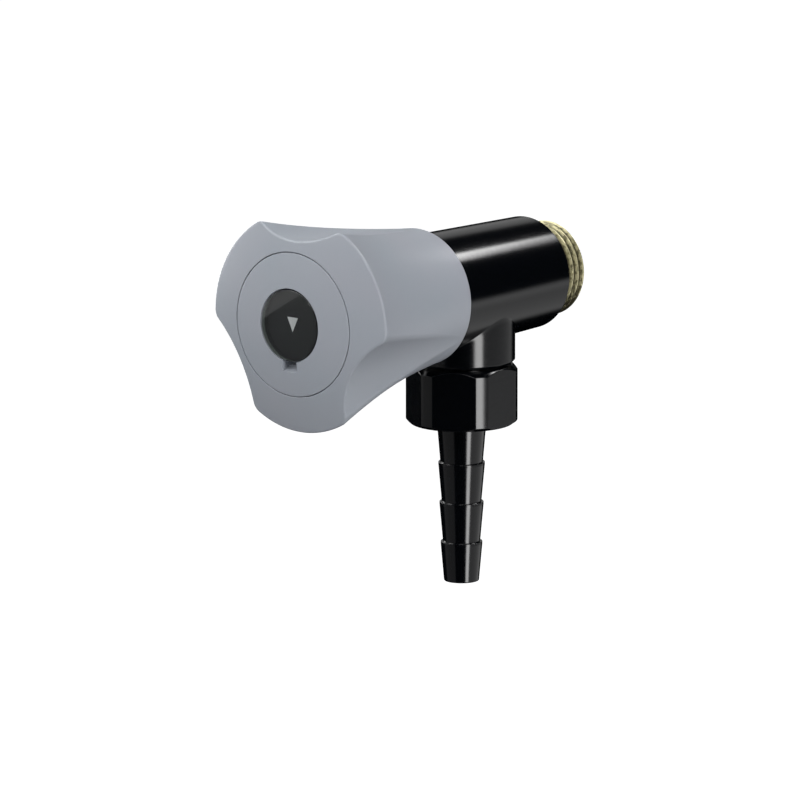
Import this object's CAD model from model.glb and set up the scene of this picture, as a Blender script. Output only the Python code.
"""Looks of the wall-mounted laboratory vacuum tap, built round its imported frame.

The visible turned and moulded pieces are surfaces worked out with numpy from the tap's own sizes.
A station is a distance forward of the body's rear face, along -Y. A drop is a distance below the main
axis, along -Z. Lengths are in millimetres, and become metres when a mesh or a lamp is made.
"""
import logging
import math
from dataclasses import dataclass
from enum import Enum
from typing import Callable, Optional, Union

import bmesh
import bpy
import numpy as np
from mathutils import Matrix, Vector


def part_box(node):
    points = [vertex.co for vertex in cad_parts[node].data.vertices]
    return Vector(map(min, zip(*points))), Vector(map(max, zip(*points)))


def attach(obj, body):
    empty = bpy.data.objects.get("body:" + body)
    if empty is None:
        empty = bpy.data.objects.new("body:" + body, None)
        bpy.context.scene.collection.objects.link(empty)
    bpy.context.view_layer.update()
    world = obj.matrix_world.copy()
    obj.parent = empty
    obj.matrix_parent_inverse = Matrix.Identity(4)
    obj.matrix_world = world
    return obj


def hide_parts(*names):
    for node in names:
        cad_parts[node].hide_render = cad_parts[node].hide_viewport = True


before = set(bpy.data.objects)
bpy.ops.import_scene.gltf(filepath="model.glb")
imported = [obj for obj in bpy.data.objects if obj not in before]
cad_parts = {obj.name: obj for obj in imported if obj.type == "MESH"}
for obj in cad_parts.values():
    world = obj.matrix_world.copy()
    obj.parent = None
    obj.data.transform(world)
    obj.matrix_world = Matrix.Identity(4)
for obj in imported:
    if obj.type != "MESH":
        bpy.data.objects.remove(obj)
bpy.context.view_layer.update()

MM = 0.001
WELD = 2e-7
QUARTER = math.pi / 2
SIXTH = math.pi / 3
SHARP_ANGLE = math.radians(24)
ARC_FACETS = 5
MIX_COLOURS = (6, 7)
MIX_RESULT = 2

Grid = np.ndarray
Triple = tuple[float, float, float]
Band = tuple[float, ...]
Value = Union["Wire", float, tuple]
Inputs = dict[Union[str, int], Value]
log = logging.getLogger("vacuum_tap")


class Body(Enum):
    """The bodies that the pieces ride on."""

    FIXED = "tap_body"
    TURNING = "handwheel_set"
    SLIDING = "plunger_set"


# Shapes

@dataclass(frozen=True)
class Extent:
    """Reach of a CAD node, in millimetres."""

    rear: float
    front: float
    top: float
    bottom: float
    half_width: float

    @classmethod
    def of(cls, node: str) -> "Extent":
        """Measures a node's box.

        Args:
            node: name of the CAD node.

        Returns:
            Its stations, its drops and half its width.
        """
        low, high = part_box(node)
        return cls(-high.y / MM, -low.y / MM, -high.z / MM, -low.z / MM, (high.x - low.x) / 2 / MM)

    @property
    def middle(self) -> float:
        """Station halfway between rear and front."""
        return (self.rear + self.front) / 2


def unit(vector: Grid) -> Grid:
    """Vector of length 1 in the same direction, along the last axis."""
    return vector / np.linalg.norm(vector, axis=-1, keepdims=True)


def blend(start: Grid, end: Grid, share: Grid) -> Grid:
    """Straight mix of two arrays: start + share * (end - start)."""
    return start + share * (end - start)


def stepped(*turns: float) -> list[Triple]:
    """Sharp corners of a stepped outline, from its radii and the places of its steps by turns."""
    pairs = enumerate(zip(turns, turns[1:]))
    return [(b, a, 0) if index % 2 else (a, b, 0) for index, (a, b) in pairs]


def rounded(corners: list[Triple], closed: bool = False) -> Grid:
    """Outline whose corners are rounded.

    A round touches both sides at round / tan(half the corner's angle) from the corner, and its arc is
    a spherical mix of the two radii to those points. A support point lies just beyond each end of the
    arc, so that the face beside it keeps its own normal.

    Args:
        corners: (radius, along, round) of each corner.
        closed: whether the last corner joins the first.

    Returns:
        Points (radius, along), with the first repeated at the end if the outline is closed.
    """
    points = np.array([corner[:2] for corner in corners], float)
    share = np.linspace(0, 1, ARC_FACETS + 1)[:, None]
    rows = []
    for index, (point, (_, _, size)) in enumerate(zip(points, corners)):
        is_end = not closed and index in (0, len(corners) - 1)
        if size == 0 or is_end:
            rows.append(point[None])
            continue
        back = unit(points[index - 1] - point)
        ahead = unit(points[(index + 1) % len(points)] - point)
        half = math.acos(np.clip(back @ ahead, -1, 1)) / 2
        reach = size / math.tan(half)
        centre = point + unit(back + ahead) * size / math.sin(half)
        sweep = math.pi - 2 * half
        first = np.sin((1 - share) * sweep) * (point + back * reach - centre)
        last = np.sin(share * sweep) * (point + ahead * reach - centre)
        arc = centre + (first + last) / math.sin(sweep)
        support = reach + size / 2
        rows.extend([(point + back * support)[None], arc, (point + ahead * support)[None]])
    outline = np.vstack(rows)
    return np.vstack([outline, outline[:1]]) if closed else outline


def about_main(radius: Grid, station: Grid, angle: Grid) -> Grid:
    """Points about the main axis: (radius cos angle, -station, radius sin angle)."""
    return np.stack(np.broadcast_arrays(radius * np.cos(angle), -station, radius * np.sin(angle)), -1)


def about_outlet(radius: Grid, drop: Grid, angle: Grid, branch: float) -> Grid:
    """Points about the outlet: (radius sin angle, -branch - radius cos angle, -drop)."""
    across, ahead = radius * np.sin(angle), -branch - radius * np.cos(angle)
    return np.stack(np.broadcast_arrays(across, ahead, -drop), -1)


def circle(columns: int) -> Grid:
    """Angles once round, with the first repeated at the end."""
    return np.linspace(0, 2 * math.pi, columns + 1)


def spun(outline: Grid, angles: Grid, branch: Optional[float] = None) -> Grid:
    """Surface of revolution of an outline.

    Args:
        outline: points (radius, along).
        angles: angle of each column.
        branch: station of the outlet's axis, or None for the main axis.

    Returns:
        Grid of one row for each point of the outline.
    """
    radius, along = outline[:, :1], outline[:, 1:]
    if branch is None:
        return about_main(radius, along, angles)
    return about_outlet(radius, along, angles, branch)


def conic(start: Grid, corner: Grid, end: Grid, half: Grid, facets: int) -> Grid:
    """Rounded corner between two surfaces, as rows of points.

    Each row is the rational quadratic (1-t)^2 start + 2 w t (1-t) corner + t^2 end, divided by the sum
    of its weights, which is a circle's arc where w is the sine of half the corner's angle.

    Args:
        start: last points of the first surface.
        corner: where the two surfaces would meet.
        end: first points of the second surface.
        half: half the corner's angle, for each point.
        facets: facets across the corner.

    Returns:
        Grid of the rows between start and end, both left out.
    """
    share = np.linspace(0, 1, facets + 1)[1:-1, None, None]
    weight = np.sin(half)[:, None]
    first, middle, last = (1 - share) ** 2, 2 * share * (1 - share) * weight, share**2
    return (first * start + middle * corner + last * end) / (first + middle + last)


class Shell:
    """Closed surface made of grids of points that share their edges."""

    def __init__(self) -> None:
        """Starts an empty shell."""
        self.grids: list[Grid] = []

    def add(self, *grids: Grid) -> "Shell":
        """Adds grids of points in millimetres, and returns the shell."""
        self.grids.extend(grids)
        return self

    def faces(self) -> tuple[Grid, Grid]:
        """Points in metres and the four-sided faces between neighbours, as whole arrays.

        Returns:
            The points, and the four point numbers of each face.
        """
        faces, start = [], 0
        for grid in self.grids:
            index = np.arange(grid.shape[0] * grid.shape[1]).reshape(grid.shape[:2]) + start
            corners = (index[:-1, :-1], index[1:, :-1], index[1:, 1:], index[:-1, 1:])
            faces.append(np.stack(corners, -1).reshape(-1, 4))
            start += index.size
        return np.vstack([grid.reshape(-1, 3) for grid in self.grids]) * MM, np.vstack(faces)

    def piece(self, name: str, bevel: float = 0.0) -> bpy.types.Object:
        """Makes the mesh object, welded, facing outwards and smooth up to its sharp edges.

        Args:
            name: name of the piece.
            bevel: width of a bevel modifier on its sharp edges, in millimetres, or 0 for none.

        Returns:
            The object, at the origin.
        """
        points, faces = self.faces()
        mesh = bpy.data.meshes.new(name)
        mesh.vertices.add(len(points))
        mesh.vertices.foreach_set("co", points.ravel())
        mesh.loops.add(faces.size)
        mesh.loops.foreach_set("vertex_index", faces.ravel())
        mesh.polygons.add(len(faces))
        mesh.polygons.foreach_set("loop_start", np.arange(0, faces.size, 4))
        mesh.update(calc_edges=True)
        work = bmesh.new()
        work.from_mesh(mesh)
        bmesh.ops.remove_doubles(work, verts=work.verts, dist=WELD)
        bmesh.ops.recalc_face_normals(work, faces=work.faces)
        work.to_mesh(mesh)
        work.free()
        mesh.polygons.foreach_set("use_smooth", np.ones(len(mesh.polygons), bool))
        mesh.set_sharp_from_angle(angle=SHARP_ANGLE)
        piece = bpy.data.objects.new(name, mesh)
        bpy.context.scene.collection.objects.link(piece)
        if bevel:
            edge = piece.modifiers.new("edge", "BEVEL")
            edge.width = bevel * MM
            edge.segments = 2
            edge.limit_method = "ANGLE"
            edge.angle_limit = SHARP_ANGLE
            edge.harden_normals = True
        return piece


# Shader building

class Wire:
    """A shader socket that can be used in sums and products."""

    def __init__(self, graph: "Graph", socket: bpy.types.NodeSocket) -> None:
        """Wraps one output socket of a graph."""
        self.graph = graph
        self.socket = socket

    def _math(self, operation: str, first: Value, second: Value) -> "Wire":
        """One Math node on two values."""
        return self.graph.node("ShaderNodeMath", {0: first, 1: second}, operation=operation)

    def __add__(self, other: Value) -> "Wire":
        """Sum."""
        return self._math("ADD", self, other)

    __radd__ = __add__

    def __sub__(self, other: Value) -> "Wire":
        """Difference."""
        return self._math("SUBTRACT", self, other)

    def __rsub__(self, other: float) -> "Wire":
        """Difference from a number."""
        return self._math("SUBTRACT", other, self)

    def __mul__(self, other: Value) -> "Wire":
        """Product."""
        return self._math("MULTIPLY", self, other)

    __rmul__ = __mul__

    def arctan2(self, other: "Wire") -> "Wire":
        """Angle whose tangent is this value over the other."""
        return self._math("ARCTAN2", self, other)

    def larger(self, other: Value) -> "Wire":
        """The larger of two values."""
        return self._math("MAXIMUM", self, other)

    def rise(self, start: float, end: float) -> "Wire":
        """Smooth step from 0 at start to 1 at end."""
        inputs = {"Value": self, "From Min": start, "From Max": end}
        return self.graph.node("ShaderNodeMapRange", inputs, interpolation_type="SMOOTHSTEP")

    def between(self, start: float, end: float, soft: float) -> "Wire":
        """1 from start to end, falling to 0 over a soft distance beyond each."""
        return self.rise(start - soft, start) * (1 - self.rise(end, end + soft))

    def axis(self, name: str) -> "Wire":
        """One part of a vector, X, Y or Z."""
        return self.graph.node("ShaderNodeSeparateXYZ", {0: self}, name)

    def radius(self) -> "Wire":
        """Distance of a place from the main axis.

        Returns:
            The distance in metres.
        """
        level = {0: self, 1: (1, 0, 1)}
        flat = self.graph.node("ShaderNodeVectorMath", level, operation="MULTIPLY")
        return self.graph.node("ShaderNodeVectorMath", {0: flat}, "Value", operation="LENGTH")


@dataclass(frozen=True)
class Noise:
    """Noise from 0 to 1, whose grain is as large as a size in millimetres."""

    size: float
    detail: float = 2.0
    rough: float = 0.5


class Graph:
    """Node tree of a material, a lamp or the world, built by name."""

    def __init__(self, tree: bpy.types.NodeTree) -> None:
        """Empties the tree."""
        tree.nodes.clear()
        self.tree = tree

    def node(
        self, kind: str, inputs: Optional[Inputs] = None, output: Union[str, int] = 0, **settings: str
    ) -> Wire:
        """Adds a node.

        Args:
            kind: the node's type.
            inputs: a wire or a value for each input socket, by name or number.
            output: the output socket to return.
            settings: its properties, which are set first.

        Returns:
            The wire of that output.
        """
        node = self.tree.nodes.new(kind)
        for name, value in settings.items():
            setattr(node, name, value)
        for key, value in (inputs or {}).items():
            if isinstance(value, Wire):
                self.tree.links.new(value.socket, node.inputs[key])
            else:
                node.inputs[key].default_value = value
        return Wire(self, node.outputs[output] if len(node.outputs) else None)

    def place(self, scale: tuple = (1, 1, 1)) -> Wire:
        """Object coordinates, scaled along each axis."""
        where = self.node("ShaderNodeTexCoord", output="Object")
        return self.node("ShaderNodeMapping", {"Vector": where, "Scale": scale})

    def noise(self, where: Wire, noise: Noise) -> Wire:
        """A noise at a place."""
        grain = {"Scale": 1 / (noise.size * MM), "Detail": noise.detail, "Roughness": noise.rough}
        return self.node("ShaderNodeTexNoise", {"Vector": where, **grain})

    def tint(self, share: Value, first: Union[Wire, Triple], second: Triple) -> Wire:
        """Mix of a colour, or a wire of one, with a second colour.

        Args:
            share: share of the second colour.
            first: the first colour.
            second: the second colour.

        Returns:
            The mixed colour.
        """
        start = first if isinstance(first, Wire) else (*first, 1)
        colours = dict(zip(MIX_COLOURS, (start, (*second, 1))))
        return self.node("ShaderNodeMix", {0: share, **colours}, MIX_RESULT, data_type="RGBA")

    def mixed(self, share: Value, first: Wire, second: Wire) -> Wire:
        """Mix of two shaders."""
        return self.node("ShaderNodeMixShader", {0: share, 1: first, 2: second})

    def bump(self, height: Wire, depth: float) -> Wire:
        """Normal from a height of 0 to 1 that stands for a depth in millimetres."""
        return self.node("ShaderNodeBump", {"Height": height, "Distance": depth * MM})


@dataclass(frozen=True)
class Finish:
    """A finish, named after the record's material slot that it dresses."""

    slot: str

    def material(self) -> bpy.types.Material:
        """Builds the material.

        Returns:
            The new material.
        """
        made = bpy.data.materials.new(self.slot)
        made.use_nodes = True
        graph = Graph(made.node_tree)
        graph.node("ShaderNodeOutputMaterial", {"Surface": self.shader(graph)})
        return made

    def shader(self, graph: Graph) -> Wire:
        """A Principled shader with the finish's inputs."""
        return graph.node("ShaderNodeBsdfPrincipled", self.inputs(graph))

    def inputs(self, graph: Graph) -> Inputs:
        """The shader's inputs."""
        raise NotImplementedError


@dataclass(frozen=True)
class WheelPlastic(Finish):
    """Fine satin moulding, blue-grey with a faint lilac drift."""

    slot: str = "wheel_plastic"
    cool: Triple = (0.297, 0.330, 0.368)
    warm: Triple = (0.322, 0.332, 0.372)
    mark: Triple = (0.22, 0.24, 0.27)
    drift: Noise = Noise(14, 1)
    grain: Noise = Noise(0.28, 3, 0.6)
    speck: Noise = Noise(0.9)
    speck_band: Band = (0.62, 0.86)
    speck_share: float = 0.10
    roughness: tuple[float, float] = (0.31, 0.12)
    relief: float = 0.006

    def inputs(self, graph: Graph) -> Inputs:
        """Slow colour drift, fine grain in roughness and a shallow moulded texture.

        Args:
            graph: the material's node tree.

        Returns:
            The Principled shader's inputs.
        """
        where, (base, share) = graph.place(), self.roughness
        grain, speck = graph.noise(where, self.grain), graph.noise(where, self.speck)
        tone = graph.tint(graph.noise(where, self.drift), self.cool, self.warm)
        return {
            "Base Color": graph.tint(speck.rise(*self.speck_band) * self.speck_share, tone, self.mark),
            "Roughness": base + share * grain,
            "Normal": graph.bump(grain + 0.5 * speck, self.relief),
        }


@dataclass(frozen=True)
class BlackCoat(Finish):
    """Gloss black coating with a faint orange peel and a few dull spots."""

    slot: str = "black_coat"
    base: Triple = (0.0012, 0.0016, 0.0024)
    dust: Triple = (0.0055, 0.006, 0.007)
    fine: Noise = Noise(0.12)
    drift: Noise = Noise(5, 3, 0.6)
    peel: Noise = Noise(1.3)
    dust_band: Band = (0.55, 0.8)
    dust_share: float = 0.5
    roughness: Triple = (0.105, 0.06, 0.02)
    relief: float = 0.004
    ior: float = 1.5

    def inputs(self, graph: Graph) -> Inputs:
        """Peel in the normal, small drift in roughness, a little dust in the colour.

        Args:
            graph: the material's node tree.

        Returns:
            The Principled shader's inputs.
        """
        where, (base, drift, share) = graph.place(), self.roughness
        fine = graph.noise(where, self.fine)
        dust = fine.rise(*self.dust_band) * self.dust_share
        return {
            "IOR": self.ior,
            "Base Color": graph.tint(dust, self.base, self.dust),
            "Roughness": base + drift * graph.noise(where, self.drift) + share * fine,
            "Normal": graph.bump(graph.noise(where, self.peel), self.relief),
        }


@dataclass(frozen=True)
class CutThread(Finish):
    """Bare brass thread: bright crests, olive roots and fine tool marks along the cut.

    Grime grows from the low height to the deep one, and is thin on the turned end, past the thread.
    The numbers in the sums are the shares of their noises.
    """

    slot: str = "thread_brass"
    crest: Triple = (0.60, 0.555, 0.33)
    root: Triple = (0.055, 0.048, 0.022)
    grime: Triple = (0.05, 0.045, 0.022)
    low: float = -2.0
    deep: float = -9.5
    thread_end: float = 6.9
    end_face: float = 7.9
    end_share: float = 0.75
    marks: Noise = Noise(0.32, 2, 0.65)
    marks_stretch: Triple = (0.25, 1, 0.25)
    specks: Noise = Noise(0.9, 3, 0.75)
    specks_stretch: Triple = (1, 2, 1)
    stain: Noise = Noise(3.2, 3, 0.6)
    dirt_band: Band = (0.12, 0.66)
    spot_band: Band = (0.49, 0.58)
    relief: float = 0.09

    def inputs(self, graph: Graph) -> Inputs:
        """The groove attribute darkens the roots, and noise makes tool marks, stains and specks.

        Args:
            graph: the material's node tree.

        Returns:
            The Principled shader's inputs.
        """
        where = graph.place()
        groove = graph.node("ShaderNodeAttribute", output="Fac", attribute_name="groove")
        under = 1 - where.axis("Z").rise(self.deep * MM, self.low * MM)
        clean = self.end_share * where.axis("Y").rise(self.thread_end * MM, self.end_face * MM)
        marks = graph.noise(graph.place(self.marks_stretch), self.marks)
        specks = graph.noise(graph.place(self.specks_stretch), self.specks)
        stain = graph.noise(where, self.stain)
        dirt = (groove * (0.45 + 0.9 * specks)).rise(*self.dirt_band)
        spots = (0.65 * marks + 0.35 * specks + 0.2 * under).rise(*self.spot_band)
        spots = spots * (0.5 + 0.35 * stain + 0.3 * under).rise(0, 1) * (1 - clean)
        return {
            "Base Color": graph.tint(spots, graph.tint(dirt, self.crest, self.root), self.grime),
            "Metallic": 0.5 - 0.3 * dirt,
            "Roughness": 0.28 + 0.2 * marks + 0.15 * dirt,
            "Normal": graph.bump(marks + specks, self.relief),
        }


@dataclass(frozen=True)
class TurnedMetal(Finish):
    """Turned metal with fine rings round the main axis."""

    pale: Triple
    dark: Triple
    drift: Noise = Noise(4, 3)
    ring: Noise = Noise(0.12, 2, 0.6)
    roughness: tuple[float, float] = (0.24, 0.16)
    relief: float = 0.004

    def inputs(self, graph: Graph) -> Inputs:
        """Rings come from noise that is stretched round the axis, so it follows station and radius.

        Args:
            graph: the material's node tree.

        Returns:
            The Principled shader's inputs.
        """
        where, (base, share) = graph.place(), self.roughness
        ring = graph.node("ShaderNodeCombineXYZ", {"X": where.radius(), "Y": where.axis("Y")})
        marks = graph.noise(ring, self.ring)
        return {
            "Metallic": 1.0,
            "Base Color": graph.tint(graph.noise(where, self.drift), self.pale, self.dark),
            "Roughness": base + share * marks,
            "Normal": graph.bump(marks, self.relief),
        }


@dataclass(frozen=True)
class Mottled(Finish):
    """Plain finish with one noise in the colour, and one in the roughness and the normal."""

    first: Triple
    second: Triple
    drift: Noise
    grain: Noise
    roughness: tuple[float, float]
    relief: float
    stretch: Triple = (1, 1, 1)

    def inputs(self, graph: Graph) -> Inputs:
        """Colour drift, and a grain whose roughness is a base and a share of the noise.

        Args:
            graph: the material's node tree.

        Returns:
            The Principled shader's inputs.
        """
        base, share = self.roughness
        grain = graph.noise(graph.place(self.stretch), self.grain)
        drift = graph.noise(graph.place(), self.drift)
        return {
            "Base Color": graph.tint(drift, self.first, self.second),
            "Roughness": base + share * grain,
            "Normal": graph.bump(grain, self.relief),
        }


@dataclass(frozen=True)
class ClearWindow(Finish):
    """Clear moulded plastic over the index, with a frosted side past the side's radius."""

    slot: str = "clear_window"
    first: Triple = (0.90, 0.935, 0.925)
    second: Triple = (0.94, 0.96, 0.955)
    line: Triple = (0.004, 0.004, 0.005)
    frost: Triple = (0.055, 0.066, 0.062)
    streaks: float = 1.7
    side_radius: float = 7.73
    side_soft: float = 0.03
    side_front: float = 80.47
    line_soft: float = 0.04
    haze: Noise = Noise(3)
    wipe: Noise = Noise(1.2, 3)
    wipe_stretch: Triple = (1, 1, 4)
    streak: Noise = Noise(0.8)
    streak_stretch: Triple = (1, 4, 1)
    roughness: tuple[float, float] = (0.004, 0.02)
    side_roughness: tuple[float, float] = (0.22, 0.2)
    ior: float = 1.49

    def inputs(self, graph: Graph) -> Inputs:
        """Clear acrylic with hardly visible haze and wipe marks.

        Args:
            graph: the material's node tree.

        Returns:
            The Principled shader's inputs.
        """
        base, share = self.roughness
        wipe = graph.noise(graph.place(self.wipe_stretch), self.wipe)
        haze = graph.noise(graph.place(), self.haze)
        return {
            "Transmission Weight": 1.0,
            "IOR": self.ior,
            "Base Color": graph.tint(haze, self.first, self.second),
            "Roughness": base + share * wipe,
        }

    def shader(self, graph: Graph) -> Wire:
        """Clear all over, with a satin frost on the side and a dark line on the chamfer before it.

        Args:
            graph: the material's node tree.

        Returns:
            The mixed shader.
        """
        where, (base, share) = graph.place(), self.side_roughness
        front, radius = self.side_front, self.side_radius
        line = (0 - where.axis("Y")).rise(front * MM, (front + self.line_soft) * MM)
        streak = graph.noise(graph.place(self.streak_stretch), self.streak)
        frost = graph.tint(streak, self.frost, tuple(self.streaks * part for part in self.frost))
        inputs = {"Base Color": graph.tint(line, frost, self.line), "Roughness": base + share * streak}
        satin = graph.node("ShaderNodeBsdfPrincipled", inputs)
        side = where.radius().rise(radius * MM, (radius + self.side_soft) * MM)
        return graph.mixed(side, super().shader(graph), satin)


STEEL = TurnedMetal("hard_steel", (0.58, 0.59, 0.60), (0.44, 0.45, 0.46))
BRASS = TurnedMetal("turned_brass", (0.66, 0.54, 0.28), (0.50, 0.39, 0.18))
RUBBER = Mottled(
    "seal_rubber", (0.018, 0.018, 0.019), (0.034, 0.034, 0.036),
    drift=Noise(1.8, 3), grain=Noise(0.15), roughness=(0.62, 0.2), relief=0.008,
)
SLIP_PLASTIC = Mottled(
    "slip_plastic", (0.82, 0.82, 0.80), (0.74, 0.73, 0.69),
    drift=Noise(3), grain=Noise(0.3), roughness=(0.38, 0.15), relief=0.006, stretch=(1, 6, 1),
)
INDEX_BLACK = Mottled(
    "index_black", (0.0022, 0.0035, 0.0056), (0.0040, 0.0055, 0.0080),
    drift=Noise(0.5), grain=Noise(0.5), roughness=(0.42, 0.1), relief=0.003,
)
MARK_WHITE = Mottled(
    "mark_white", (0.86, 0.87, 0.88), (0.74, 0.76, 0.77),
    drift=Noise(0.35, 3), grain=Noise(0.35, 3), roughness=(0.5, 0.1), relief=0.002,
)


class Dresser:
    """Gives pieces and CAD nodes their finishes, each made once."""

    def __init__(self) -> None:
        """Starts with no material."""
        self.made: dict[str, bpy.types.Material] = {}

    def material(self, finish: Finish) -> bpy.types.Material:
        """The finish's material."""
        if finish.slot not in self.made:
            self.made[finish.slot] = finish.material()
        return self.made[finish.slot]

    def dress(self, piece: bpy.types.Object, finish: Finish, body: Body, *nodes: str) -> None:
        """Finishes a new piece.

        Args:
            piece: the new object.
            finish: its finish.
            body: what it moves with.
            nodes: the CAD nodes that it stands for.
        """
        piece.data.materials.append(self.material(finish))
        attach(piece, body.value)
        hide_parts(*nodes)
        log.info("%s: %d faces, rides on %s", piece.name, len(piece.data.polygons), body.value)

    def dress_node(self, node: str, finish: Finish) -> None:
        """Gives a CAD node that stays in view, or inside, its finish.

        Args:
            node: name of the CAD node.
            finish: its finish.
        """
        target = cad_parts[node]
        target.data.materials.clear()
        target.data.materials.append(self.material(finish))
        log.info("%s: CAD node, %s", node, finish.slot)


# Fixed body

@dataclass
class CrossedTube:
    """Tapered tube about the main axis with a round hole in its underside, where a branch leaves it.

    An angle on the tube is measured from straight down. Its upper half is a plain grid. Its lower half
    runs in rings from the hole to the half's four sides, so that one row of points lies on the hole,
    and the rings crowd towards it.
    """

    radius_at: Callable[[Grid], Grid]
    rear: float
    front: float
    hole: float
    station: float
    across: int = 120
    along: int = 44
    rings: int = 26
    crowding: float = 1.3

    def __post_init__(self) -> None:
        """Spaces the angles of the lower and the upper half, and the stations."""
        self.lower = np.linspace(-QUARTER, QUARTER, self.across + 1)
        self.upper = np.linspace(QUARTER, 3 * QUARTER, self.across + 1)
        self.stations = np.linspace(self.front, self.rear, self.along + 1)

    def ring_angles(self) -> Grid:
        """Angles of the tube's end rings, as the main axis counts them, from the half's left side."""
        return np.concatenate([self.lower, self.upper[1:]]) - QUARTER

    def surface(self, angle: Grid, station: Grid) -> Grid:
        """Points (R sin angle, -station, -R cos angle), where R is the tube's radius at the station."""
        return about_main(self.radius_at(station), station, angle - QUARTER)

    def sides(self) -> tuple[Grid, Grid]:
        """Angle and station of each point round the lower half's four sides.

        Returns:
            Angles and stations, counted once round.
        """
        left, right = (np.full(self.along, end) for end in (-QUARTER, QUARTER))
        front, rear = np.full(self.across + 1, self.front), np.full(self.across, self.rear)
        angle = np.concatenate([self.lower, right, self.lower[-2::-1], left])
        return angle, np.concatenate([front, self.stations[1:], rear, self.stations[-2::-1]])

    def turn(self) -> Grid:
        """Angle round the branch of each column, from straight ahead, which evens out both halves.

        Returns:
            The angle of each column.
        """
        angle, station = self.sides()
        half = math.asin(self.hole / self.radius_at(np.array(self.station)))
        return np.arctan2(angle / half, (station - self.station) / self.hole)

    def footprint(self, radius: Grid) -> tuple[Grid, Grid]:
        """Angle and station on the tube of each column, at a distance from the branch's axis.

        Args:
            radius: each column's distance from the branch's axis.

        Returns:
            Each column's angle and station.
        """
        turn = self.turn()
        station = self.station + radius * np.cos(turn)
        return np.arcsin(radius * np.sin(turn) / self.radius_at(station)), station

    def grids(self, edge: Grid) -> list[Grid]:
        """The upper half, and the lower half outside an edge at a distance from the branch's axis.

        Args:
            edge: distance from the branch's axis at which each column starts.

        Returns:
            The two grids.
        """
        share = np.linspace(0, 1, self.rings + 1)[:, None] ** self.crowding
        angle, station = (blend(a, b, share) for a, b in zip(self.footprint(edge), self.sides()))
        return [self.surface(self.upper, self.stations[:, None]), self.surface(angle, station)]


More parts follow.
